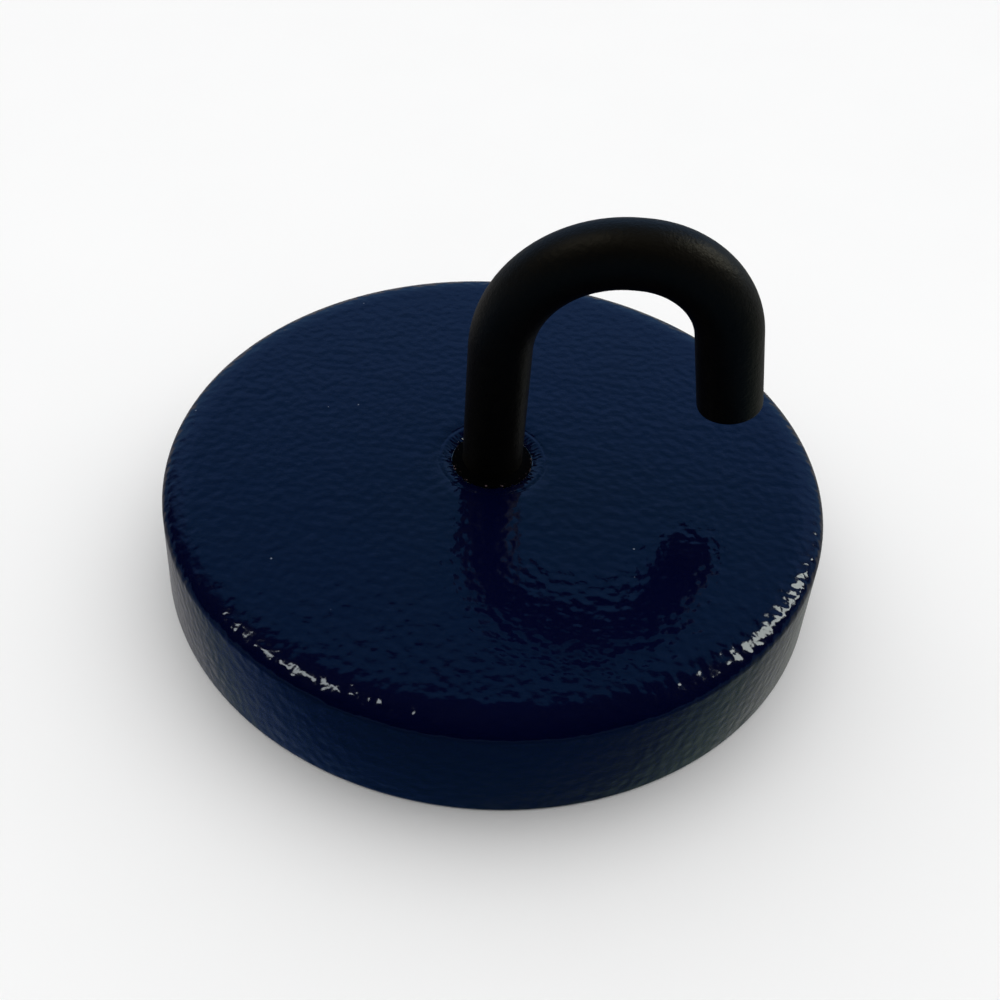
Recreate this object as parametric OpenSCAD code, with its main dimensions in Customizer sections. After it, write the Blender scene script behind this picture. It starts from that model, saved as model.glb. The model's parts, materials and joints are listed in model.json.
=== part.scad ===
// Magnet fishing magnet: a round steel cup that holds a ferrite ring magnet, with an
// open hook screwed into a threaded bush at its centre and locked by a nut below.
// Z is up. The origin is the middle of the open magnetic face, and the hook opens towards +X.

/* [Cup] */
// Diameter of the cup across its top, before the shoulder is rounded
cup_top_d = 80.8; // [76:0.2:90]
// Diameter of the cup at its open face
cup_face_d = 82.6; // [78:0.2:94]
// Height of the cup
cup_h = 13.2; // [12.6:0.1:16]
// Thickness of the cup's floor, which is uppermost
floor_t = 3; // [2.5:0.1:3.4]
// Thickness of the cup's side wall at the open face
wall_t = 2.8; // [2:0.1:3.4]
// Radius of the rounded shoulder
shoulder_r = 2.2; // [1.4:0.1:2.6]
// Radius inside the corner of wall and floor
corner_r = 1.4; // [0.6:0.1:1.6]

/* [Magnet] */
// Outside diameter of the ring magnet
magnet_d = 73; // [66:0.5:73.5]
// Diameter of the ring magnet's centre recess
magnet_bore_d = 26; // [24:0.5:30]
// How far the magnet's face sits inside the cup's rim
magnet_inset = 0.3; // [0.1:0.1:0.6]
// How far the potting in the gap sits inside the cup's rim
potting_inset = 0.6; // [0.3:0.1:1.5]
// Thickness of the adhesive under the cup's floor
glue_t = 0.3; // [0.2:0.05:0.5]

/* [Threaded bush] */
// Diameter of the spigot that fills the hole in the cup's floor
spigot_d = 13.4; // [12:0.2:15]
// Diameter of the flange under the floor
flange_d = 18; // [17:0.5:20]
// Thickness of the flange
flange_t = 1.8; // [1.4:0.1:2]
// Diameter of the countersink at the top
sink_d = 10.2; // [9.4:0.2:11]

/* [Hook] */
// Diameter of the rod, coat included
rod_d = 7.4; // [7:0.1:7.8]
// Straight part of the shank above the cup
shank_h = 17; // [12:0.1:24]
// Centreline radius of the first bend
bend_1_r = 13.6; // [11:0.1:16]
// Straight run over the crown, between the two bends
crown_l = 0.6; // [0.4:0.1:4]
// Centreline radius of the second bend
bend_2_r = 10.6; // [8:0.1:12]
// How far the tip leg splays outwards, in degrees
splay = 11.5; // [0:0.5:20]
// Straight part of the tip leg
tip_l = 10.2; // [4:0.1:12]
// Rounding of the tip's edge
tip_edge_r = 0.6; // [0.2:0.1:1]
// Diameter over the thread's crests
thread_d = 8; // [7.9:0.05:8]

/* [Lock nut and washer] */
// Width of the nut across its flats
nut_af = 13; // [12.5:0.1:13]
// Height of the nut
nut_h = 4; // [3.2:0.1:4]
// Outside diameter of the split washer
washer_d = 14.8; // [14:0.1:16]
// Thickness of the split washer
washer_t = 2; // [1.6:0.1:2]
// Width of the cut through the split washer
split_w = 1.2; // [0.6:0.1:2]

/* [Hidden] */
$fn = 96;
// Radial clearance of the turning thread, and the seal's clearance round the rod and in its seat
run_gap = 0.05;
seal_gap = 0.05;
// How far the ring of sealant stands above the cup
seal_proud = 0.15;
// How far the stem stops short of the open face
stem_inset = 0.4;
// Chamfer on the stem's end
stem_chamfer = 0.6;
// How much slimmer than the bend the tip leg is, and how far it starts inside it
leg_slim = 0.02;
leg_lap = 0.05;
past = 1;

top_r = cup_top_d / 2;
face_r = cup_face_d / 2;
lean = atan((face_r - top_r) / cup_h);
floor_z = cup_h - floor_t;
cavity_face_r = face_r - wall_t;
cavity_floor_r = cavity_face_r - floor_z * tan(lean);
magnet_top_z = floor_z - glue_t;
bore_r = thread_d / 2 + run_gap;
sink_z = cup_h - (sink_d / 2 - bore_r);
flange_z = floor_z - flange_t;
washer_z = flange_z - washer_t;
nut_z = washer_z - nut_h;
thread_top_z = sink_z - 0.3;
bend_1_z = cup_h + shank_h;
bend_2_x = bend_1_r + crown_l;
bend_2_z = bend_1_z + bend_1_r - bend_2_r;

// Outline of a truncated cone with one rounded edge at its top, as half a section
module rounded_section(bottom_r, upper_r, h, edge_r) {
    slope = atan((bottom_r - upper_r) / h);
    reach = edge_r / tan((90 + slope) / 2);
    centre_x = upper_r - reach;
    polygon([
        [0, 0], [bottom_r, 0],
        [centre_x + edge_r * cos(slope), h - edge_r + edge_r * sin(slope)],
        [centre_x, h - edge_r], [centre_x, h], [0, h]
    ]);
    translate([centre_x, h - edge_r]) circle(r = edge_r);
}

// Half section of the space inside the cup
module cavity_section() {
    rounded_section(cavity_face_r, cavity_floor_r, floor_z, corner_r);
}

// Plain ring: inner radius, outer radius, lower and upper height
module ring(inner_r, outer_r, low_z, high_z) {
    difference() {
        translate([0, 0, low_z]) cylinder(r = outer_r, h = high_z - low_z);
        translate([0, 0, low_z - past]) cylinder(r = inner_r, h = high_z - low_z + 2 * past);
    }
}

// Pressed steel cup, blue coat included
module cup_shell() {
    color("#16284a") difference() {
        rotate_extrude() rounded_section(face_r, top_r, cup_h, shoulder_r);
        rotate_extrude() cavity_section();
        cylinder(r = spigot_d / 2, h = cup_h + past);
    }
}

// Round bush pressed into the floor, flush with the top
module threaded_bush() {
    color("#8d9096") difference() {
        union() {
            translate([0, 0, flange_z]) cylinder(r = flange_d / 2, h = flange_t);
            translate([0, 0, floor_z]) cylinder(r = spigot_d / 2, h = floor_t);
        }
        translate([0, 0, flange_z - past]) cylinder(r = bore_r, h = flange_t + floor_t + 2 * past);
        translate([0, 0, sink_z]) cylinder(r1 = bore_r, r2 = sink_d / 2, h = cup_h - sink_z);
    }
}

// Ferrite ring that fills the cup
module ring_magnet() {
    color("#2b2b2e") ring(magnet_bore_d / 2, magnet_d / 2, magnet_inset, magnet_top_z);
}

// Film of adhesive between the magnet and the cup's floor
module magnet_glue() {
    color("#b9a36a") ring(magnet_bore_d / 2, magnet_d / 2, magnet_top_z, floor_z);
}

// Resin in the gap between the magnet and the cup's wall
module potting_ring() {
    color("#1d1d1f") rotate_extrude() difference() {
        cavity_section();
        square([magnet_d / 2, floor_z]);
        square([cavity_face_r + past, potting_inset]);
    }
}

// Ring of cured sealant round the hook's foot, seated in the bush's countersink
module thread_seal() {
    seal_r = sink_d / 2 - seal_gap;
    low_r = seal_r - (cup_h - sink_z) + 0.2;
    color("#101012") difference() {
        union() {
            translate([0, 0, sink_z + 0.2]) cylinder(r1 = low_r, r2 = seal_r, h = cup_h - sink_z - 0.2);
            translate([0, 0, cup_h]) cylinder(r = seal_r, h = seal_proud);
        }
        translate([0, 0, sink_z - past]) cylinder(r = rod_d / 2 + seal_gap, h = floor_t + past);
    }
}

// Quarter or part turn of the rod about a centre in the XZ plane
module rod_bend(centre_x, centre_z, bend_r, from_a, sweep_a) {
    translate([centre_x, 0, centre_z]) rotate([90, 0, 0]) rotate([0, 0, from_a])
        rotate_extrude(angle = sweep_a) translate([bend_r, 0]) circle(d = rod_d);
}

// Straight leg with a rounded end, pointing down from its own origin. It is a hair slimmer
// than the bend and starts just inside it, so the two join cleanly.
module tip_leg() {
    leg_r = rod_d / 2 - leg_slim;
    flat_r = leg_r - tip_edge_r;
    rotate([180, 0, 0]) {
        translate([0, 0, -leg_lap]) cylinder(r = leg_r, h = tip_l - tip_edge_r + leg_lap);
        translate([0, 0, tip_l - tip_edge_r]) rotate_extrude() {
            square([flat_r, tip_edge_r]);
            intersection() {
                translate([flat_r, 0]) circle(r = tip_edge_r);
                square([leg_r, tip_edge_r]);
            }
        }
    }
}

// Bent rod with a threaded stem, all one piece
module hook() {
    body_z = stem_inset + stem_chamfer;
    tip_x = bend_2_x + bend_2_r * cos(splay);
    tip_z = bend_2_z + bend_2_r * sin(splay);
    color("#141414") union() {
        translate([0, 0, stem_inset])
            cylinder(r1 = thread_d / 2 - stem_chamfer, r2 = thread_d / 2, h = stem_chamfer);
        translate([0, 0, body_z]) cylinder(d = thread_d, h = thread_top_z - body_z);
        translate([0, 0, thread_top_z]) cylinder(d = rod_d, h = bend_1_z - thread_top_z);
        rod_bend(bend_1_r, bend_1_z, bend_1_r, 90, 90);
        translate([bend_1_r, 0, bend_1_z + bend_1_r]) rotate([0, 90, 0])
            cylinder(d = rod_d, h = crown_l);
        rod_bend(bend_2_x, bend_2_z, bend_2_r, 90, splay - 90);
        translate([tip_x, 0, tip_z]) rotate([0, -splay, 0]) tip_leg();
    }
}

// Split spring washer under the bush
module split_washer() {
    color("#9a9da1") difference() {
        ring(thread_d / 2 + 0.15, washer_d / 2, washer_z, flange_z);
        translate([0, -split_w / 2, washer_z - past])
            cube([washer_d, split_w, washer_t + 2 * past]);
    }
}

// Thin hexagon nut, its corners chamfered at 30 degrees on both faces
module lock_nut() {
    flat_r = 0.475 * nut_af;
    reach_r = flat_r + nut_h / tan(30);
    color("#a5a7a9") translate([0, 0, nut_z]) difference() {
        intersection() {
            cylinder(d = nut_af / cos(30), h = nut_h, $fn = 6);
            cylinder(r1 = flat_r, r2 = reach_r, h = nut_h);
            cylinder(r1 = reach_r, r2 = flat_r, h = nut_h);
        }
        translate([0, 0, -past]) cylinder(r = bore_r, h = nut_h + 2 * past);
    }
}

cup_shell();
threaded_bush();
ring_magnet();
magnet_glue();
potting_ring();
thread_seal();
hook();
split_washer();
lock_nut();
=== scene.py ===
# %% [markdown]
# # A magnet for fishing steel out of water
# The real thing is a pressed steel cup with a navy powder coat. A ferrite ring is glued into the
# cup, and a black hook made of bent round bar screws into a bush in the middle. The CAD frame
# already has the true sizes, so this script keeps them and gives every piece its finer shape and
# its finish.

# %% Load the frame
import json
import math

import bmesh
import bpy
from mathutils import Matrix, Vector

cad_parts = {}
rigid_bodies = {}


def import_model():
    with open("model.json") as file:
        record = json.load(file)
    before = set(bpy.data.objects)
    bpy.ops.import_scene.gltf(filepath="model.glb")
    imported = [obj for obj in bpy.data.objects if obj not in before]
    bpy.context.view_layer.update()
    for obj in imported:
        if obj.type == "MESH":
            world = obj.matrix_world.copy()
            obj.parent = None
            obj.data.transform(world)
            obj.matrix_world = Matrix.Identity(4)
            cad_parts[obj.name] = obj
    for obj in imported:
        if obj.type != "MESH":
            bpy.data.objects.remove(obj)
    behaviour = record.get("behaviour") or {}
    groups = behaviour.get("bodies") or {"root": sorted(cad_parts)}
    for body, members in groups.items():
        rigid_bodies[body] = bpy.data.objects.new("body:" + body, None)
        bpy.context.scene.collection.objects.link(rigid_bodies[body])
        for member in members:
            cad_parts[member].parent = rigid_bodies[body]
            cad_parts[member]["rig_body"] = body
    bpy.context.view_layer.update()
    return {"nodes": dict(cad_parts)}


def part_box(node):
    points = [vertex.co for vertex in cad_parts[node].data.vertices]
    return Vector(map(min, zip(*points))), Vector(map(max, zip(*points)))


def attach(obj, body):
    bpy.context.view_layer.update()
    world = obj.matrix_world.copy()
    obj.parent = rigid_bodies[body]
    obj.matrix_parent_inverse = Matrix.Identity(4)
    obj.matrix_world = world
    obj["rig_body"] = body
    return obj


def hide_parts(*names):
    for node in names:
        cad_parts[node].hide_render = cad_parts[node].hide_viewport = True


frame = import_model()
MM = 0.001

# %% [markdown]
# ## Sizes that several pieces share
# A node's box gives its outer sizes. The sizes inside a box that several pieces share, such as
# the magnet's bore or the bar's thickness, are written here once, in metres.

# %% Shared sizes
cup_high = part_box("cup_shell")[1]
hook_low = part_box("hook")[0]
bush_low, bush_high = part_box("threaded_bush")
magnet_low, magnet_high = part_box("ring_magnet")
seal_low, seal_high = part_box("thread_seal")
nut_low, nut_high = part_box("lock_nut")
washer_low, washer_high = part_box("split_washer")
potting_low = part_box("potting_ring")[0]

# The cup: its open face, its height, its top before the shoulder, and the underside of its floor
FACE_R = cup_high.x
CUP_H = cup_high.z
TOP_R = 40.4 * MM
FLOOR_Z = 10.2 * MM
# The bush's spigot, and the hole that the coat leaves round the hook's foot
SPIGOT_R = 6.7 * MM
COAT_HOLE_R = 5.05 * MM
# The magnet and its bore
MAGNET_R = magnet_high.x
BORE_R = 13 * MM
# The hook's bar, and its M8 thread: crests, roots, pitch and where the threaded stem ends
ROD_R = 3.7 * MM
THREAD_R = 4 * MM
ROOT_R = 3.4 * MM
PITCH = 1.25 * MM
STEM_TOP = 11.85 * MM
# A gap that keeps a piece clear of its neighbour
CLEAR = 0.02 * MM
# Sides of the cup's circles, and the distance within which two places count as one
SIDES = 256
TINY = 1e-6
print("cup radius and height in mm:", round(FACE_R / MM, 2), round(CUP_H / MM, 2))

# %% [markdown]
# ## Hands for edit mode
# Most of the work is done with the tools that a modeller uses by hand. Small helpers start a disc,
# pick what the next tool acts on, and then extrude, scale, inset, round or roughen it. The last
# two clean and smooth a mesh, and put the piece in the place of its CAD node.

# %% Helpers for modelling


def begin(name):
    """Names the newest object, puts its place into its mesh and opens it with nothing selected."""
    piece = bpy.context.object
    bpy.ops.object.transform_apply(location=True, rotation=True, scale=True)
    piece.name = name
    piece.data.name = name
    bpy.ops.object.mode_set(mode="EDIT")
    bpy.ops.mesh.select_all(action="DESELECT")
    return piece


def disc(name, sides, radius, low_z, high_z):
    """Opens a round disc for editing, with plain faces at its two heights."""
    bpy.ops.mesh.primitive_cylinder_add(
        vertices=sides, radius=radius, depth=high_z - low_z,
        location=(0, 0, (low_z + high_z) / 2), end_fill_type="NGON"
    )
    return begin(name)


def pick(kind, test, corners=None):
    """Selects the parts of one kind whose every corner passes the test, and nothing else."""
    bpy.ops.mesh.select_mode(type=kind)
    bpy.ops.mesh.select_all(action="DESELECT")
    mesh = bmesh.from_edit_mesh(bpy.context.object.data)
    parts = {"VERT": mesh.verts, "EDGE": mesh.edges, "FACE": mesh.faces}[kind]
    count = 0
    for part in parts:
        points = [part.co] if kind == "VERT" else [corner.co for corner in part.verts]
        if all(test(point) for point in points) and corners in (None, len(points)):
            part.select_set(True)
            count += 1
    bmesh.update_edit_mesh(bpy.context.object.data)
    return count


def level(height):
    """A test for points at one height."""
    return lambda point: abs(point.z - height) < TINY


def ring_at(radius, height):
    """A test for points on one circle round the axis."""
    return lambda point: level(height)(point) and abs(point.xy.length - radius) < 20 * TINY


def push(x=0, y=0, z=0):
    """Extrudes what is selected and moves the new part."""
    bpy.ops.mesh.extrude_region_move(TRANSFORM_OT_translate={"value": (x, y, z)})


def spread(factor):
    """Scales what is selected about the axis, and keeps its height."""
    bpy.ops.transform.resize(value=(factor, factor, 1), center_override=(0, 0, 0))


def inset(thickness):
    """Insets the selected disc by the same distance all round."""
    bpy.ops.mesh.inset(thickness=thickness, depth=0, use_even_offset=False)


def terrace(outer_r, steps):
    """Insets the selected disc step by step, and says how high it ends.

    Each step is a radius and a height over the start, in mm.
    """
    last_r = outer_r / MM
    last_height = 0
    for radius, height in steps:
        inset((last_r - radius) * MM)
        bpy.ops.transform.translate(value=(0, 0, (height - last_height) * MM))
        last_r = radius
        last_height = height
    return last_height * MM


def round_off(width, segments):
    """Bevels the selected edges."""
    bpy.ops.mesh.bevel(offset=width, segments=segments, profile=0.5, clamp_overlap=False)


def roughen(amount, seed, normal=0):
    """Shifts the selected points at random, or with a normal of 1 only along their normals."""
    bpy.ops.transform.vertex_random(offset=amount, uniform=0, normal=normal, seed=seed)


def finish_mesh(angle=35):
    """Merges doubles, turns the faces outwards, leaves edit mode and smooths."""
    bpy.ops.mesh.select_all(action="SELECT")
    bpy.ops.mesh.remove_doubles(threshold=TINY / 2)
    bpy.ops.mesh.normals_make_consistent(inside=False)
    bpy.ops.object.mode_set(mode="OBJECT")
    bpy.ops.object.shade_smooth_by_angle(angle=math.radians(angle))


def hand_over(piece, node):
    """Puts a finished piece in place of its CAD node, on the node's own body."""
    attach(piece, frame["nodes"][node]["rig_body"])
    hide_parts(node)
    open_edges = bmesh.new()
    open_edges.from_mesh(piece.data)
    loose = sum(1 for edge in open_edges.edges if not edge.is_manifold)
    open_edges.free()
    size = [round(value / MM, 2) for value in piece.dimensions]
    print(piece.name, "size in mm:", size, "faces:", len(piece.data.polygons), "open edges:", loose)


bpy.ops.object.select_all(action="DESELECT")
print("helpers ready")

# %% [markdown]
# ## The cup
# The cup is drawn from steel sheet, so its wall flares a little, and its shoulder is a soft curve
# that is wider than it is high. The powder coat runs over the bush as well, sinks a little towards
# the hook's foot, and ends there in a ragged edge. A bevel would give a shoulder that is as wide
# as it is high, so the disc's top is inset in rings instead, each raised to a quarter of an ellipse.
# More rings make the seam over the bush and the dip inside it, and the same tools hollow the cup.

# %% The outside of the cup
SHOULDER_RUN = 4.2 * MM
SHOULDER_DROP = 1.75 * MM
SHOULDER_STEPS = 16
RIM_ROUND = 0.35 * MM
edge_z = CUP_H - SHOULDER_DROP
lean = math.atan2(FACE_R - TOP_R, CUP_H)
edge_r = FACE_R - edge_z * math.tan(lean)
flat_r = edge_r - SHOULDER_RUN
cup = disc("cup_coated", SIDES, FACE_R, 0, edge_z)
pick("VERT", level(edge_z))
spread(edge_r / FACE_R)
pick("FACE", level(edge_z), corners=SIDES)
curve = []
for step in range(1, SHOULDER_STEPS + 1):
    turn = math.pi / 2 * (1 - step / SHOULDER_STEPS)
    radius = flat_r + SHOULDER_RUN * math.sin(turn)
    curve.append((radius / MM, SHOULDER_DROP * math.cos(turn) / MM))
terrace(edge_r, curve)
pick("EDGE", level(0))
round_off(RIM_ROUND, 4)
print("the top is flat up to a radius of", round(flat_r / MM, 2), "mm")

# %% [markdown]
# The seam over the bush is a fine groove. Inside it the coat dips towards the foot, and it wrinkles
# there, because it was sprayed over the edge of a countersink. Each pair below is one inset of the
# face in the middle: its new radius, and its height over the cup's top, both in mm.

# %% The rings round the hook's foot
rings = [
    (30, 0), (20, 0), (12, 0), (8.5, 0), (6.92, 0), (6.84, -0.02), (6.76, -0.05), (6.66, -0.065),
    (6.54, -0.045), (6.42, -0.02), (6.3, -0.01), (6.1, -0.03), (5.8, -0.12), (5.5, -0.25),
    (COAT_HOLE_R / MM, -0.42)
]
pick("FACE", level(CUP_H), corners=SIDES)
lip_z = CUP_H + terrace(flat_r, rings)
print("the coat ends at radius", round(COAT_HOLE_R / MM, 2), "height", round(lip_z / MM, 2))

# %% The ragged edge and the underside of the lip
LIP_THICKNESS = 0.09 * MM
RAGGED = 0.3 * MM
under_lip_z = lip_z - LIP_THICKNESS
push(z=-LIP_THICKNESS)
push()
spread(SPIGOT_R / COAT_HOLE_R)
pick("VERT", ring_at(COAT_HOLE_R, lip_z))
roughen(RAGGED, seed=4)
bpy.ops.mesh.vertices_smooth(factor=0.35, repeat=1)
# Each wrinkled ring: its radius, how far it lies under the top, its wrinkles' height, its seed
for radius, dip, wrinkle, seed in ((6.1, 0.03, 0.05, 6), (5.8, 0.12, 0.08, 9), (5.5, 0.25, 0.06, 3)):
    pick("VERT", ring_at(radius * MM, CUP_H - dip * MM))
    roughen(wrinkle * MM, seed, normal=1)
SEAM_IN = 6.5 * MM
SEAM_OUT = 6.88 * MM
seam_points = pick(
    "VERT", lambda point: SEAM_IN < point.xy.length < SEAM_OUT and point.z > lip_z + 0.1 * MM
)
roughen(0.03 * MM, seed=5)
print("points of the seam:", seam_points)

# %% The hollow underneath
WALL = 2.8 * MM
CORNER = 1.4 * MM
hollow_r = FACE_R - WALL
hollow_top_r = hollow_r - FLOOR_Z * math.tan(lean)
pick("FACE", level(0), corners=SIDES)
inset(WALL - RIM_ROUND)
push(z=FLOOR_Z)
spread(hollow_top_r / hollow_r)
pick("EDGE", ring_at(hollow_top_r, FLOOR_Z))
round_off(CORNER, 4)
pick("EDGE", ring_at(hollow_r, 0))
round_off(0.2 * MM, 3)
print("hollow radius in mm:", round(hollow_r / MM, 2), "to", round(hollow_top_r / MM, 2))

# %% The hole for the bush
pick("FACE", level(FLOOR_Z), corners=SIDES)
inset(hollow_top_r - CORNER - SPIGOT_R)
hole_faces = pick(
    "FACE", lambda point: point.xy.length < SPIGOT_R + 0.3 * MM and point.z < CUP_H, corners=SIDES
)
bpy.ops.mesh.bridge_edge_loops()
finish_mesh()
hand_over(cup, "cup_shell")
print("faces bridged for the hole:", hole_faces)

# %% [markdown]
# ## The bush
# The bush is a turned steel part with a flange below and a spigot that fills the hole in the cup.
# Only the flange shows, from below, and a little of the countersink when the hook is screwed out.
# It is made as on the lathe: a disc, a smaller boss on it, then a countersink and a bore.

# %% Turn the bush
BUSH_SIDES = 128
BUSH_BORE_R = 4.05 * MM
BUSH_CHAMFER = 0.25 * MM
flange_r = bush_high.x
bush = disc("bush", BUSH_SIDES, flange_r, bush_low.z, FLOOR_Z)
pick("EDGE", level(bush_low.z))
round_off(BUSH_CHAMFER, 2)
spigot_r = SPIGOT_R - CLEAR
bush_top_z = under_lip_z - CLEAR
sink_r = COAT_HOLE_R - 0.05 * MM
pick("FACE", level(FLOOR_Z), corners=BUSH_SIDES)
inset(flange_r - spigot_r)
push(z=bush_top_z - FLOOR_Z)
inset(spigot_r - sink_r)
push(z=BUSH_BORE_R - sink_r)
spread(BUSH_BORE_R / sink_r)
pick("FACE", level(bush_low.z), corners=BUSH_SIDES)
inset(flange_r - BUSH_CHAMFER - BUSH_BORE_R)
sink_floor_z = bush_top_z - sink_r + BUSH_BORE_R
pick(
    "FACE", lambda point: point.xy.length < BUSH_BORE_R + TINY and point.z < sink_floor_z + TINY,
    corners=BUSH_SIDES
)
bpy.ops.mesh.bridge_edge_loops()
finish_mesh()
hand_over(bush, "threaded_bush")

# %% [markdown]
# ## The magnet, its glue and the resin round it
# Ferrite is pressed, fired and ground flat, and the edges of its open face are chamfered and a
# little chipped. The resin in the gap creeps up both walls and leaves a hollow surface. A bead of
# glue squeezes out at the top of the recess. All three are rings: a disc, insets, and a bridge
# through the middle.

# %% A helper for rings
RING_SIDES = 192


def ring_blank(name, outer_r, inner_r, low_z, high_z):
    """Opens a plain ring for editing: a disc whose two faces are inset and bridged."""
    piece = disc(name, RING_SIDES, outer_r, low_z, high_z)
    for height in (low_z, high_z):
        pick("FACE", level(height), corners=RING_SIDES)
        inset(outer_r - inner_r)
    pick("FACE", lambda point: point.xy.length < inner_r + TINY, corners=RING_SIDES)
    bpy.ops.mesh.bridge_edge_loops()
    return piece


print("rings have", RING_SIDES, "sides")

# %% The ferrite ring
CHAMFER = 0.5 * MM
CHIP = 0.06 * MM
CHIP_REACH = 0.3 * MM
magnet = ring_blank("magnet", MAGNET_R, BORE_R, magnet_low.z, magnet_high.z)
for radius in (MAGNET_R, BORE_R):
    pick("EDGE", ring_at(radius, magnet_low.z))
    round_off(CHAMFER, 2)
    pick("VERT", lambda point: abs(point.xy.length - radius) < CHIP_REACH
         and magnet_low.z + TINY < point.z < magnet_low.z + CHIP_REACH)
    roughen(CHIP, seed=2)
finish_mesh(angle=50)
hand_over(magnet, "ring_magnet")

# %% The film of glue and its bead
BEAD_R = BORE_R - 0.35 * MM
glue = ring_blank("glue_film", MAGNET_R - 0.1 * MM, BEAD_R, magnet_high.z, FLOOR_Z)
pick("EDGE", ring_at(BEAD_R, magnet_high.z))
round_off(0.14 * MM, 3)
pick("VERT", lambda point: point.xy.length < BEAD_R + 0.1 * MM and point.z < FLOOR_Z - TINY)
roughen(0.1 * MM, seed=7)
bpy.ops.mesh.vertices_smooth(factor=0.5, repeat=2)
finish_mesh(angle=80)
hand_over(glue, "magnet_glue")

# %% The resin
HOLLOW_SLOPE = 0.35
resin_r = hollow_r - CLEAR - potting_low.z * math.tan(lean)
resin_top_r = hollow_top_r - CORNER
resin_low_z = potting_low.z - 0.1 * MM
resin_high_z = FLOOR_Z - 0.2 * MM
resin = ring_blank("resin_ring", resin_r, MAGNET_R + 0.01 * MM, resin_low_z, resin_high_z)
pick("VERT", ring_at(resin_r, resin_high_z))
spread(resin_top_r / resin_r)
pick("FACE", level(resin_low_z))
for step in (0.25, 0.25, 0.3):
    bpy.ops.mesh.inset(thickness=step * MM, depth=-step * HOLLOW_SLOPE * MM, use_boundary=True)
finish_mesh(angle=60)
hand_over(resin, "potting_ring")

# %% [markdown]
# ## The collar of sealant
# Black thread sealant was squeezed out round the hook's foot and set there. It climbs the rod,
# lies in the countersink and ends unevenly under the edge of the coat. A short cylinder is
# raised towards the rod in steps, and its points are shifted a little at random.

# %% The collar
COLLAR_SIDES = 96
collar_r = seal_high.x - 0.08 * MM
collar_low_z = seal_low.z + 0.1 * MM
collar_edge_z = lip_z - CLEAR
collar_low_r = collar_r - 0.5 * MM
grip_r = ROD_R + 0.01 * MM
collar = disc("seal_collar", COLLAR_SIDES, collar_r, collar_low_z, collar_edge_z)
pick("VERT", level(collar_low_z))
spread(collar_low_r / collar_r)
pick("FACE", level(collar_edge_z), corners=COLLAR_SIDES)
climb = [(4.75, 0.06), (4.45, 0.13), (4.15, 0.22), (3.9, 0.34), (grip_r / MM, 0.5)]
terrace(collar_r, climb)
pick("FACE", level(collar_low_z), corners=COLLAR_SIDES)
terrace(collar_low_r, [(grip_r / MM, 0)])
pick("FACE", lambda point: point.xy.length < grip_r + TINY, corners=COLLAR_SIDES)
bpy.ops.mesh.bridge_edge_loops()
pick("VERT", lambda point: point.xy.length > grip_r + 0.1 * MM and point.z > collar_low_z + TINY)
roughen(0.07 * MM, seed=11)
bpy.ops.mesh.subdivide(number_cuts=1, smoothness=1)
finish_mesh(angle=80)
hand_over(collar, "thread_seal")

# %% [markdown]
# ## The hook
# The hook is one length of round bar, threaded at one end and bent cold in two bends. A ring of
# points is pushed up for the shank, spun round each bend's centre and pushed out for the tip,
# just as the bar runs. The thread is a small tooth profile that the Screw modifier winds round
# a core at the true pitch, so that it shows when the hook is screwed out.

# %% Run the ring of points along the bar
ROD_SIDES = 64
BEND_1_R = 13.6 * MM
CROWN = 0.6 * MM
BEND_2_R = 10.6 * MM
SPLAY = math.radians(11.5)
TIP = 10.2 * MM
SHANK = 17 * MM
shank_top_z = CUP_H + SHANK
bpy.ops.mesh.primitive_circle_add(
    vertices=ROD_SIDES, radius=ROD_R, fill_type="NOTHING", location=(0, 0, STEM_TOP)
)
hook = begin("hook_rod")
bpy.ops.mesh.select_all(action="SELECT")
push(z=shank_top_z - STEM_TOP)
bpy.ops.mesh.spin(
    steps=36, angle=math.pi / 2, center=(BEND_1_R, 0, shank_top_z), axis=(0, -1, 0)
)
push(x=CROWN)
bend_2_centre = Vector((BEND_1_R + CROWN, 0, shank_top_z + BEND_1_R - BEND_2_R))
bpy.ops.mesh.spin(
    steps=32, angle=math.pi / 2 - SPLAY, center=bend_2_centre, axis=(0, -1, 0)
)
tip_way = Vector((math.sin(SPLAY), 0, -math.cos(SPLAY)))
tip_start = bend_2_centre + BEND_2_R * Vector((math.cos(SPLAY), 0, math.sin(SPLAY)))
tip_end = tip_start + TIP * tip_way
push(*(TIP * tip_way))
bpy.ops.mesh.edge_face_add()
tip_low = min(vertex.co.z for vertex in bmesh.from_edit_mesh(hook.data).verts
              if vertex.co.x > BEND_1_R)
print("lowest point of the tip in mm:", round(tip_low / MM, 2))

# %% Round the tip's edge and close the lower end
TIP_ROUND = 0.6 * MM
pick("EDGE", lambda point: abs((point - tip_end).dot(tip_way)) < TINY * 5)
round_off(TIP_ROUND, 5)
pick("EDGE", level(STEM_TOP))
bpy.ops.mesh.edge_face_add()
finish_mesh(angle=50)
print("rod faces:", len(hook.data.polygons))

# %% A helper for threads
TURN_STEPS = 48


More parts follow.
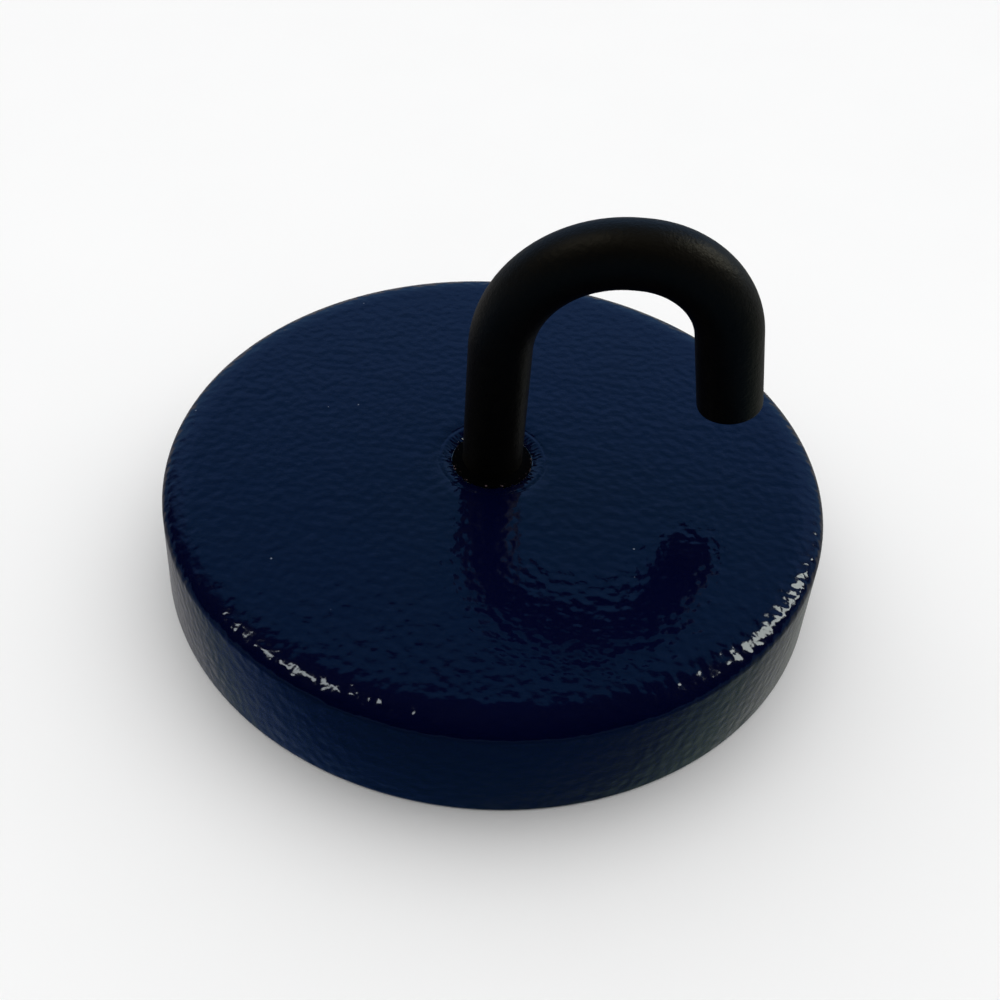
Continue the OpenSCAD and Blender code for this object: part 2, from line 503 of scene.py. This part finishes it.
def thread_ridge(name, root_r, crest_r, low_z, turns):
    """A tooth of a right-handed thread, wound round the axis by the Screw modifier."""
    half_root = 0.5 * MM
    half_crest = 0.1 * MM
    bpy.ops.mesh.primitive_plane_add(size=1, location=(0, 0, 0), rotation=(math.pi / 2, 0, 0))
    ridge = begin(name)
    depth = crest_r - root_r
    bpy.ops.mesh.select_all(action="SELECT")
    bpy.ops.transform.resize(value=(abs(depth), 1, 2 * half_root))
    bpy.ops.transform.translate(value=((root_r + crest_r) / 2, 0, low_z))
    pick("VERT", lambda point: abs(point.x - crest_r) < TINY)
    bpy.ops.transform.resize(value=(1, 1, half_crest / half_root))
    bpy.ops.object.mode_set(mode="OBJECT")
    screw = ridge.modifiers.new("thread", "SCREW")
    screw.axis = "Z"
    screw.screw_offset = PITCH * turns
    screw.angle = 2 * math.pi * turns
    screw.steps = int(TURN_STEPS * turns)
    screw.render_steps = int(TURN_STEPS * turns)
    screw.use_merge_vertices = False
    bpy.ops.object.modifier_apply(modifier="thread")
    bpy.ops.object.mode_set(mode="EDIT")
    bpy.ops.mesh.select_all(action="SELECT")
    bpy.ops.mesh.fill_holes(sides=4)
    finish_mesh(angle=50)
    return ridge


def join(main, *others):
    """Joins the others to the main piece."""
    bpy.ops.object.select_all(action="DESELECT")
    for part in (main, *others):
        part.select_set(True)
    bpy.context.view_layer.objects.active = main
    bpy.ops.object.join()


print("a turn of thread has", TURN_STEPS, "steps")

# %% The threaded stem
STEM_CHAMFER = 0.5 * MM
THREAD_TURNS = 8.2
stem_low = hook_low.z
core = disc("core", TURN_STEPS, ROOT_R, stem_low, STEM_TOP)
pick("EDGE", level(stem_low))
round_off(STEM_CHAMFER, 2)
finish_mesh(angle=50)
thread_start_z = stem_low + 0.9 * MM
ridge = thread_ridge("ridge", ROOT_R - 0.05 * MM, THREAD_R, thread_start_z, THREAD_TURNS)
join(hook, core, ridge)
hand_over(hook, "hook")

# %% [markdown]
# ## The spring washer
# A spring washer is a turn of flat wire, cut at a slant, which lies flat once it is tightened.
# The wire's section is spun round the axis and stops short of a full turn. Each end is then
# slanted, and a bevel takes the sharpness off the wire.

# %% Spin the washer
WASHER_BORE_R = 4.15 * MM
GAP = 1.2 * MM
SLANT = 0.45 * MM
washer_r = washer_high.x
gap_half = GAP / (washer_r + WASHER_BORE_R)
washer_mid_z = (washer_low.z + washer_high.z) / 2
bpy.ops.mesh.primitive_plane_add(size=1, location=(0, 0, 0), rotation=(math.pi / 2, 0, 0))
washer = begin("spring_washer")
bpy.ops.mesh.select_all(action="SELECT")
bpy.ops.transform.resize(value=(washer_r - WASHER_BORE_R, 1, washer_high.z - washer_low.z))
bpy.ops.transform.translate(value=((washer_r + WASHER_BORE_R) / 2, 0, washer_mid_z))
bpy.ops.object.mode_set(mode="OBJECT")
washer.rotation_euler.z = gap_half
bpy.ops.object.transform_apply(location=True, rotation=True, scale=True)
bpy.ops.object.mode_set(mode="EDIT")
bpy.ops.mesh.select_all(action="SELECT")
bpy.ops.mesh.spin(
    steps=120, angle=2 * math.pi - 2 * gap_half, center=(0, 0, washer_mid_z), axis=(0, 0, 1)
)
print("half of the gap in degrees:", round(math.degrees(gap_half), 2))

# %% Slant its ends and wear its edges
SAME_TURN = 0.001


def at_gap(point):
    """Tells whether a point is on one of the washer's two ends."""
    turn = abs(math.atan2(point.y, point.x))
    return point.x > 0 and abs(turn - gap_half) < SAME_TURN


for side in (1, -1):
    for up in (1, -1):
        pick("VERT", lambda point: at_gap(point) and 0 < side * point.y < GAP
             and up * (point.z - washer_mid_z) > 0)
        bpy.ops.transform.translate(value=(0, up * SLANT / 2, 0))
finish_mesh(angle=35)
edge = washer.modifiers.new("worn edge", "BEVEL")
edge.width = 0.12 * MM
edge.segments = 2
bpy.ops.object.modifier_apply(modifier="worn edge")
bpy.ops.object.shade_smooth_by_angle(angle=math.radians(35))
hand_over(washer, "split_washer")

# %% [markdown]
# ## The lock nut
# A nut is a length of hexagon bar whose corners are turned off at 30 degrees, so each flat ends
# in an arc. That arc is where a cone meets a flat, so the hexagon is cut with a turned blank by a
# Boolean modifier. A second one drills it, and the same tooth profile is wound inside the hole.

# %% Helpers for cutting
# With 90 sides no corner of a blank meets a corner of the hexagon, which keeps the cut clean
BLANK_SIDES = 90


def turned_blank(name, radius, face_r, low_z, high_z):
    """A disc whose two faces taper to face_r at 30 degrees. A wider face_r flares instead."""
    fall = abs(radius - face_r) * math.tan(math.pi / 6)
    bpy.ops.mesh.primitive_cylinder_add(
        vertices=BLANK_SIDES, radius=radius, depth=high_z - low_z - 2 * fall,
        location=(0, 0, (low_z + high_z) / 2), end_fill_type="NGON"
    )
    blank = begin(name)
    for height, step in ((high_z - fall, fall), (low_z + fall, -fall)):
        pick("FACE", level(height), corners=BLANK_SIDES)
        push(z=step)
        spread(face_r / radius)
    finish_mesh()
    return blank


def boolean(piece, tool, operation):
    """Cuts a piece with a tool and throws the tool away."""
    cut = piece.modifiers.new("cut", "BOOLEAN")
    cut.operation = operation
    cut.object = tool
    cut.solver = "EXACT"
    bpy.ops.object.select_all(action="DESELECT")
    bpy.context.view_layer.objects.active = piece
    piece.select_set(True)
    bpy.ops.object.modifier_apply(modifier="cut")
    bpy.data.objects.remove(tool)


print("blanks have", BLANK_SIDES, "sides")

# %% Cut the nut
NUT_AF = 13 * MM
NUT_BORE_R = 4.08 * MM
CUT_PAST = 0.3 * MM
nut_h = nut_high.z - nut_low.z
nut_mid_z = (nut_high.z + nut_low.z) / 2
corner_r = NUT_AF / 2 / math.cos(math.pi / 6)
nut_face_r = 0.475 * NUT_AF
bpy.ops.mesh.primitive_cylinder_add(
    vertices=6, radius=corner_r, depth=nut_h + 2 * CUT_PAST, location=(0, 0, nut_mid_z),
    rotation=(0, 0, math.pi / 6), end_fill_type="NGON"
)
nut = begin("hex_nut")
bpy.ops.object.mode_set(mode="OBJECT")
cone_r = corner_r + 0.1 * MM
boolean(nut, turned_blank("blank", cone_r, nut_face_r, nut_low.z, nut_high.z), "INTERSECT")
mouth_r = NUT_BORE_R + 0.35 * MM + CUT_PAST / math.tan(math.pi / 6)
drill = turned_blank("drill", NUT_BORE_R, mouth_r, nut_low.z - CUT_PAST, nut_high.z + CUT_PAST)
boolean(nut, drill, "DIFFERENCE")
bpy.ops.object.shade_smooth_by_angle(angle=math.radians(28))
print("nut faces before its thread:", len(nut.data.polygons))

# %% Thread the nut
# Half a pitch apart from the hook's thread, so that the ridges lie in each other's grooves
INNER_CREST_R = 3.46 * MM
INNER_TURNS = 2.1
inner_start_z = thread_start_z + 1.5 * PITCH
inner = thread_ridge("inner", NUT_BORE_R + 0.05 * MM, INNER_CREST_R, inner_start_z, INNER_TURNS)
join(nut, inner)
hand_over(nut, "lock_nut")

# %% [markdown]
# ## Wiring materials from Python
# A finish is a chain of nodes, and most of those nodes do sums. The class below wraps one output
# of a node, so that a sum on it adds the Math node that does it. The board makes every other
# kind of node from its type, its settings and what goes into its sockets.

# %% The wire and the board


class Wire:
    """One output socket of a node. Sums on it add Math nodes."""

    def __init__(self, board, socket):
        self.board = board
        self.socket = socket

    def of(self, name):
        """Another output of the same node."""
        return Wire(self.board, self.socket.node.outputs[name])

    def sum(self, operation, first, second):
        return self.board.add("ShaderNodeMath", {"operation": operation}, {0: first, 1: second})

    def __add__(self, other):
        return self.sum("ADD", self, other)

    def __radd__(self, other):
        return self.sum("ADD", other, self)

    def __sub__(self, other):
        return self.sum("SUBTRACT", self, other)

    def __rsub__(self, other):
        return self.sum("SUBTRACT", other, self)

    def __mul__(self, other):
        return self.sum("MULTIPLY", self, other)

    def __rmul__(self, other):
        return self.sum("MULTIPLY", other, self)

    def __truediv__(self, other):
        return self.sum("DIVIDE", self, other)

    def __rtruediv__(self, other):
        return self.sum("DIVIDE", other, self)


class Board:
    """The node tree of a material or of the world."""

    def __init__(self, tree):
        self.tree = tree
        tree.nodes.clear()

    def add(self, kind, settings=None, values=None):
        """Adds a node, gives it its settings and then its sockets' values or links."""
        node = self.tree.nodes.new(kind)
        for name, value in (settings or {}).items():
            if name == "stops":
                ramp = node.color_ramp
                while len(ramp.elements) < len(value):
                    ramp.elements.new(1)
                for element, (place, colour) in zip(ramp.elements, value):
                    element.position = place
                    element.color = (*colour, 1)
            else:
                setattr(node, name, value)
        for name, value in (values or {}).items():
            if isinstance(value, Wire):
                self.tree.links.new(value.socket, node.inputs[name])
            else:
                node.inputs[name].default_value = value
        return Wire(self, next(iter(node.outputs), None))

    def noise(self, place, scale, detail=2, roughness=0.5):
        """Soft noise, about 0.5 on average, with scale bumps to the metre."""
        return self.add(
            "ShaderNodeTexNoise", None,
            {"Vector": place, "Scale": scale, "Detail": detail, "Roughness": roughness}
        )

    def ease(self, value, start, end):
        """Goes smoothly from 0 at start to 1 at end."""
        return self.add(
            "ShaderNodeMapRange", {"interpolation_type": "SMOOTHSTEP"},
            {"Value": value, "From Min": start, "From Max": end}
        )

    def tint(self, factor, first, second):
        """Mixes two colours."""
        node = self.add(
            "ShaderNodeMix", {"data_type": "RGBA"}, {0: factor, 6: first, 7: second}
        )
        return Wire(self, node.socket.node.outputs[2])

    def bump(self, height, distance):
        """Turns a height into a bent normal. The distance is the height of a 1, in metres."""
        return self.add("ShaderNodeBump", None, {"Height": height, "Distance": distance})


def finish(slot, values):
    """A material with the Principled shader, named for its slot. A function fills its board."""
    material = bpy.data.materials.new(slot)
    material.use_nodes = True
    board = Board(material.node_tree)
    place = board.add("ShaderNodeTexCoord").of("Object")
    surface = board.add("ShaderNodeBsdfPrincipled", None, values(board, place))
    board.add("ShaderNodeOutputMaterial", None, {"Surface": surface})
    return material


def dress(piece, material):
    """Gives a piece one material."""
    piece.data.materials.clear()
    piece.data.materials.append(material)


def radius_of(board, place):
    """Distance from the axis."""
    flat = board.add("ShaderNodeVectorMath", {"operation": "MULTIPLY"}, {0: place, 1: (1, 1, 0)})
    return board.add("ShaderNodeVectorMath", {"operation": "LENGTH"}, {0: flat}).of("Value")


def height_of(board, place):
    """Height over the open face."""
    return board.add("ShaderNodeSeparateXYZ", None, {0: place}).of("Z")


print("board ready")

# %% [markdown]
# ## Navy powder coat
# Powder flows while it cures, but never quite flat: it keeps a ripple with cells of about a
# millimetre, called orange peel. It is a bump of a few hundredths of a millimetre, and deepest on
# the shoulder, where the powder gathers. The ripple's middle is taken off before its depth is
# changed, because a depth that grows over the shoulder would otherwise tilt it. There are a few
# specks of dust, and along the rim, which meets steel and stone, the coat is worn off in patches.

# %% The coat


def blue_coat(board, place):
    radius = radius_of(board, place)
    height = height_of(board, place)
    shoulder = board.ease(radius, 36.6 * MM, 38.8 * MM)
    wall = (1 - board.ease(height, 10.6 * MM, 12.0 * MM)) * shoulder
    peel = board.noise(place, 900, 0.6, 0.4)
    fine = board.noise(place, 2600, 1, 0.5)
    wide = board.noise(place, 240, 1, 0.5)
    depth = 1.4 + 1.3 * shoulder - 1.2 * wall
    ripple = (peel - 0.5) * depth + 0.12 * fine + 0.9 * wide
    speck = board.add("ShaderNodeTexVoronoi", None, {"Vector": place, "Scale": 420})
    dust = 1 - board.ease(speck, 0.035, 0.06)
    rare = board.ease(board.noise(place, 190, 0), 0.71, 0.72)
    dust = dust * rare
    ground = 1 - board.ease(height, 0.01 * MM, 0.12 * MM)
    worn = ground * board.ease(board.noise(place, 230, 6, 0.7), 0.58, 0.61)
    deep = board.tint(board.noise(place, 90, 2), (0.0004, 0.0010, 0.0118, 1),
                      (0.0005, 0.0014, 0.0145, 1))
    dusty = board.tint(dust * 0.5, deep, (0.25, 0.3, 0.38, 1))
    return {
        "Base Color": board.tint(worn, dusty, (0.32, 0.32, 0.33, 1)),
        "Roughness": 0.075 + 0.04 * wide + 0.3 * dust + 0.25 * worn,
        "Metallic": worn,
        "Normal": board.bump(ripple, 0.062 * MM),
    }


coat = finish("blue_coat", blue_coat)
dress(cup, coat)
print("coat nodes:", len(coat.node_tree.nodes))

# %% [markdown]
# ## Satin black rod
# The hook has a thin black coat over a bar that was bent cold, so its surface is fine-grained and
# only half glossy, and its sheen is weak and a little warm. On the thread the coat is worn down to
# the steel at the crests.

# %% The rod's coat


def black_hook(board, place):
    grain = board.noise(place, 3800, 2, 0.6)
    pebble = board.noise(place, 1500, 2, 0.5)
    scuff = board.noise(place, 320, 4, 0.6)
    radius = radius_of(board, place)
    below = 1 - board.ease(height_of(board, place), 11.6 * MM, 11.8 * MM)
    crest = board.ease(radius, 3.8 * MM, 3.97 * MM) * below
    bare = crest * board.ease(board.noise(place, 900, 3), 0.38, 0.5)
    black = board.tint(scuff, (0.0005, 0.0005, 0.0004, 1), (0.0013, 0.0013, 0.0011, 1))
    return {
        "Base Color": board.tint(bare, black, (0.3, 0.29, 0.27, 1)),
        "Roughness": 0.32 + 0.16 * scuff + 0.12 * grain,
        "Metallic": bare,
        "Specular IOR Level": 0.32,
        "Specular Tint": (1.0, 0.82, 0.58, 1),
        "Normal": board.bump(pebble + 0.8 * grain, 0.06 * MM),
    }


rod_coat = finish("black_hook", black_hook)
dress(hook, rod_coat)
print("rod nodes:", len(rod_coat.node_tree.nodes))

# %% [markdown]
# ## Sealant, resin and glue
# The sealant is dull black with pale crumbs of thread and coat in it. The potting resin cured
# glossy and slightly wavy. The glue is amber epoxy.

# %% Cured things


def sealant(board, place):
    crumbs = board.ease(board.noise(place, 2400, 2, 0.6), 0.64, 0.68)
    rim = board.ease(radius_of(board, place), 4.4 * MM, 4.8 * MM)
    return {
        "Base Color": board.tint(crumbs * rim, (0.0007, 0.0006, 0.0007, 1), (0.10, 0.07, 0.075, 1)),
        "Roughness": 0.55 + 0.2 * board.noise(place, 900),
        "Specular IOR Level": 0.02,
        "Normal": board.bump(board.noise(place, 1300, 3, 0.6), 0.12 * MM),
    }


def potting_resin(board, place):
    return {
        "Base Color": board.tint(board.noise(place, 150, 3), (0.010, 0.010, 0.012, 1),
                                 (0.022, 0.022, 0.025, 1)),
        "Roughness": 0.16 + 0.22 * board.noise(place, 260, 3),
        "Normal": board.bump(board.noise(place, 240, 2), 0.12 * MM),
    }


def adhesive(board, place):
    return {
        "Base Color": board.tint(board.noise(place, 300, 3), (0.20, 0.13, 0.045, 1),
                                 (0.42, 0.30, 0.12, 1)),
        "Roughness": 0.25 + 0.2 * board.noise(place, 500),
        "Normal": board.bump(board.noise(place, 400, 2), 0.1 * MM),
    }


dress(collar, finish("sealant", sealant))
dress(resin, finish("potting_resin", potting_resin))
dress(glue, finish("adhesive", adhesive))
print("cured materials ready")

# %% [markdown]
# ## Ground ferrite
# Ferrite is a fired ceramic, charcoal grey. Its face is ground in straight passes, which leave
# fine parallel lines, pits where grains broke out, and a dull sheen. The pits are also painted
# near black, as painted shade in them.

# %% The ferrite


def ferrite(board, place):
    along = board.add("ShaderNodeMapping", None, {"Vector": place, "Scale": (40, 2600, 40)})
    lines = board.noise(along, 1, 4, 0.6)
    # Pits where grains broke out: dents in the bump, and painted shade in the colour
    pits_and_shade = board.ease(board.noise(place, 1600, 3, 0.6), 0.60, 0.68)
    cloud = board.noise(place, 70, 4, 0.6)
    face = 1 - board.ease(height_of(board, place), 0.32 * MM, 0.45 * MM)
    dark = board.tint(cloud, (0.020, 0.020, 0.022, 1), (0.040, 0.040, 0.043, 1))
    return {
        # The pits are painted near black here, which is painted shade in them
        "Base Color": board.tint(pits_and_shade * 0.7, dark, (0.008, 0.008, 0.009, 1)),
        "Roughness": 0.5 + 0.25 * cloud - 0.12 * lines * face,
        "Normal": board.bump(lines * face * 0.35 - pits_and_shade * 0.8, 0.03 * MM),
    }


dress(magnet, finish("ferrite", ferrite))
print("ferrite ready")

# %% [markdown]
# ## The metals
# The bush shows rings from the lathe. The washer is spring steel, rolled and plated dark. The nut
# has bright zinc with a faint blue and yellow bloom. All three are metallic, and what tells them
# apart is colour, roughness and the direction of their marks.

# %% The metals


def bush_steel(board, place):
    radius = radius_of(board, place)
    turned = board.add("ShaderNodeTexWave", {"wave_type": "RINGS", "rings_direction": "Z"},
                       {"Vector": place, "Scale": 1500, "Distortion": 0.6, "Detail": 2})
    tone = board.noise(place, 350, 4, 0.6)
    return {
        "Base Color": board.tint(tone, (0.30, 0.30, 0.31, 1), (0.46, 0.45, 0.45, 1)),
        "Roughness": 0.28 + 0.2 * tone + 0.1 * board.ease(radius, 6 * MM, 9 * MM),
        "Metallic": 1.0,
        "Normal": board.bump(turned, 0.012 * MM),
    }


def spring_steel(board, place):
    tone = board.noise(place, 500, 4, 0.65)
    along = board.add("ShaderNodeMapping", None, {"Vector": place, "Scale": (900, 900, 5200)})
    drawn = board.noise(along, 1, 3, 0.6)
    return {
        "Base Color": board.tint(tone, (0.20, 0.20, 0.215, 1), (0.36, 0.36, 0.375, 1)),
        "Roughness": 0.3 + 0.25 * tone,
        "Metallic": 1.0,
        "Normal": board.bump(drawn, 0.014 * MM),
    }


def zinc_plate(board, place):
    bloom = board.noise(place, 260, 3, 0.6)
    scratch = board.add("ShaderNodeMapping", None, {"Vector": place, "Scale": (300, 3200, 900),
                                                    "Rotation": (0, 0, 0.7)})
    marks = board.noise(scratch, 1, 4, 0.6)
    return {
        "Base Color": board.tint(bloom, (0.50, 0.53, 0.60, 1), (0.66, 0.63, 0.55, 1)),
        "Roughness": 0.2 + 0.22 * marks,
        "Metallic": 1.0,
        "Normal": board.bump(marks, 0.010 * MM),
    }


dress(bush, finish("bush_steel", bush_steel))
dress(washer, finish("spring_steel", spring_steel))
dress(nut, finish("zinc_plate", zinc_plate))
print("metals ready")

# %% [markdown]
# ## The studio
# The magnet stands on a plain pale floor in a tent of white cloth, which is darker above the front.
# A glossy dark coat shows its surroundings more than its own colour, so what it mirrors is set
# apart by the kind of ray. A glossy ray sees a dim bluish room, brightest behind, dark overhead,
# over a ground that grows paler from front to back. The camera sees plain white, and all other
# rays see the tent. Two soft lamps draw the bright lines along the shoulder.

# %% The floor
bpy.ops.object.select_all(action="DESELECT")
bpy.ops.mesh.primitive_plane_add(size=8, location=(0, 0, 0))
floor = bpy.context.object
floor.name = "floor"


def pale_floor(board, place):
    return {
        "Base Color": board.tint(board.noise(place, 30, 3), (0.90, 0.90, 0.90, 1),
                                 (0.92, 0.92, 0.92, 1)),
        "Roughness": 0.8 + 0.1 * board.noise(place, 60, 2),
    }


dress(floor, finish("pale_floor", pale_floor))
floor.visible_glossy = False
print("floor ready")

# %% The room's light
world = bpy.data.worlds.new("room")
bpy.context.scene.world = world
world.use_nodes = True
room = Board(world.node_tree)
way = room.add("ShaderNodeTexCoord").of("Generated")
parts = room.add("ShaderNodeSeparateXYZ", None, {0: way})
upward = parts.of("Z")
backward = parts.of("Y")
sideways = parts.of("X")
level_way = radius_of(room, way)
facing = backward / level_way
sky = room.add("ShaderNodeValToRGB", {"stops": [
    (0.0, (0.09, 0.20, 0.36)), (0.56, (0.095, 0.225, 0.50)), (0.70, (0.05, 0.165, 0.345)),
    (0.825, (0.03, 0.125, 0.25)), (0.85, (0.003, 0.006, 0.012)), (1.0, (0.001, 0.002, 0.004))
]}, {0: upward})
low = 1 - room.ease(upward, 0.20, 0.34)
shown = room.ease(facing, 0.40, 0.80) + 0.5 * low
sky = room.tint(shown, (0.0, 0.0, 0.0, 1), sky)
to_back = room.ease(backward, -0.66, 0.50)
left_ground = room.add("ShaderNodeValToRGB", {"stops": [
    (0.0, (0.016, 0.06, 0.14)), (0.12, (0.020, 0.06, 0.17)), (0.30, (0.04, 0.09, 0.22)),
    (0.50, (0.08, 0.13, 0.26)), (0.75, (0.12, 0.16, 0.20)), (1.0, (0.24, 0.24, 0.25))
]}, {0: to_back})
right_ground = room.add("ShaderNodeValToRGB", {"stops": [
    (0.0, (0.016, 0.06, 0.14)), (0.12, (0.03, 0.06, 0.12)), (0.30, (0.05, 0.08, 0.11)),
    (0.50, (0.09, 0.135, 0.14)), (0.75, (0.137, 0.184, 0.166)), (1.0, (0.24, 0.25, 0.24))
]}, {0: to_back})
ground = room.tint(room.ease(sideways, -0.15, 0.15), left_ground, right_ground)
mirrored = room.tint(room.ease(upward, -0.02, 0.02), ground, sky)
mirror_light = room.add("ShaderNodeBackground", None, {0: mirrored, 1: 1.0})
path = room.add("ShaderNodeLightPath")
above = room.ease(upward, -0.02, 0.05) * (1 - path.of("Is Camera Ray"))
shade = (1 - room.ease(backward, -0.5, 0.3)) * above
cloth = room.tint(shade, (1, 1, 1, 1), (0.15, 0.15, 0.15, 1))
tent_light = room.add("ShaderNodeBackground", None, {0: cloth, 1: 1.7})
ray = path.of("Is Glossy Ray")
both = room.add("ShaderNodeMixShader", None, {0: ray, 1: tent_light, 2: mirror_light})
room.add("ShaderNodeOutputWorld", None, {0: both})
print("world nodes:", len(world.node_tree.nodes))


# %% The two lamps
def direction(turn, rise):
    """A direction from its angles: turn 0 is towards the viewer, and a quarter turn is to the right."""
    level_part = math.cos(rise)
    return Vector((math.sin(turn) * level_part, -math.cos(turn) * level_part, math.sin(rise)))


def lamp(name, azimuth, elevation, distance, size, watts, colour):
    """A soft oblong lamp that faces the cup, with its azimuth and elevation in degrees."""
    way = direction(math.radians(azimuth), math.radians(elevation))
    light = bpy.data.lights.new(name, "AREA")
    light.shape = "RECTANGLE"
    light.size = size[0]
    light.size_y = size[1]
    light.energy = watts
    light.color = colour
    holder = bpy.data.objects.new(name, light)
    holder.location = Vector((0, 0, CUP_H)) + distance * way
    holder.rotation_euler = way.to_track_quat("Z", "Y").to_euler()
    bpy.context.scene.collection.objects.link(holder)
    holder.visible_diffuse = False
    holder.visible_camera = False
    print(name, "at", [round(value, 3) for value in holder.location])


lamp("right lamp", azimuth=114, elevation=38, distance=0.6, size=(0.12, 0.24), watts=0.65,
     colour=(0.92, 1.0, 0.95))
lamp("left lamp", azimuth=-88, elevation=62, distance=0.6, size=(0.08, 0.16), watts=0.26,
     colour=(0.90, 0.98, 1.0))

# %% [markdown]
# ## The camera
# The view is from the front and from about 42 degrees above, with the lens 14 cm from the hook's
# foot, so the near side of the cup looks clearly larger than the far side. The camera is
# described by the direction and distance it looks from, the point it looks at, a slight roll, and
# a small shift that places the magnet a little left of the middle.

# %% Place the camera
top_middle = Vector((0, 0, CUP_H))
CAM_TURN = math.radians(3.54)
CAM_RISE = math.radians(42.41)
CAM_DISTANCE = 139.2 * MM
CAM_ROLL = 0.0269
aim = top_middle + Vector((-6.72, -0.42, -10.96)) * MM
stand = top_middle + CAM_DISTANCE * direction(CAM_TURN, CAM_RISE)
lens = bpy.data.cameras.new("camera")
lens.lens = 40.29
lens.sensor_width = 36
lens.shift_x = 0.0635
lens.shift_y = 0.0157
lens.clip_start = 0.005
camera = bpy.data.objects.new("camera", lens)
turned = (stand - aim).to_track_quat("Z", "Y").to_matrix().to_4x4()
camera.matrix_world = Matrix.Translation(stand) @ turned @ Matrix.Rotation(CAM_ROLL, 4, "Z")
bpy.context.scene.collection.objects.link(camera)
bpy.context.scene.camera = camera
bpy.context.scene.view_settings.view_transform = "Standard"
print("camera at mm:", [round(value / MM, 1) for value in stand])
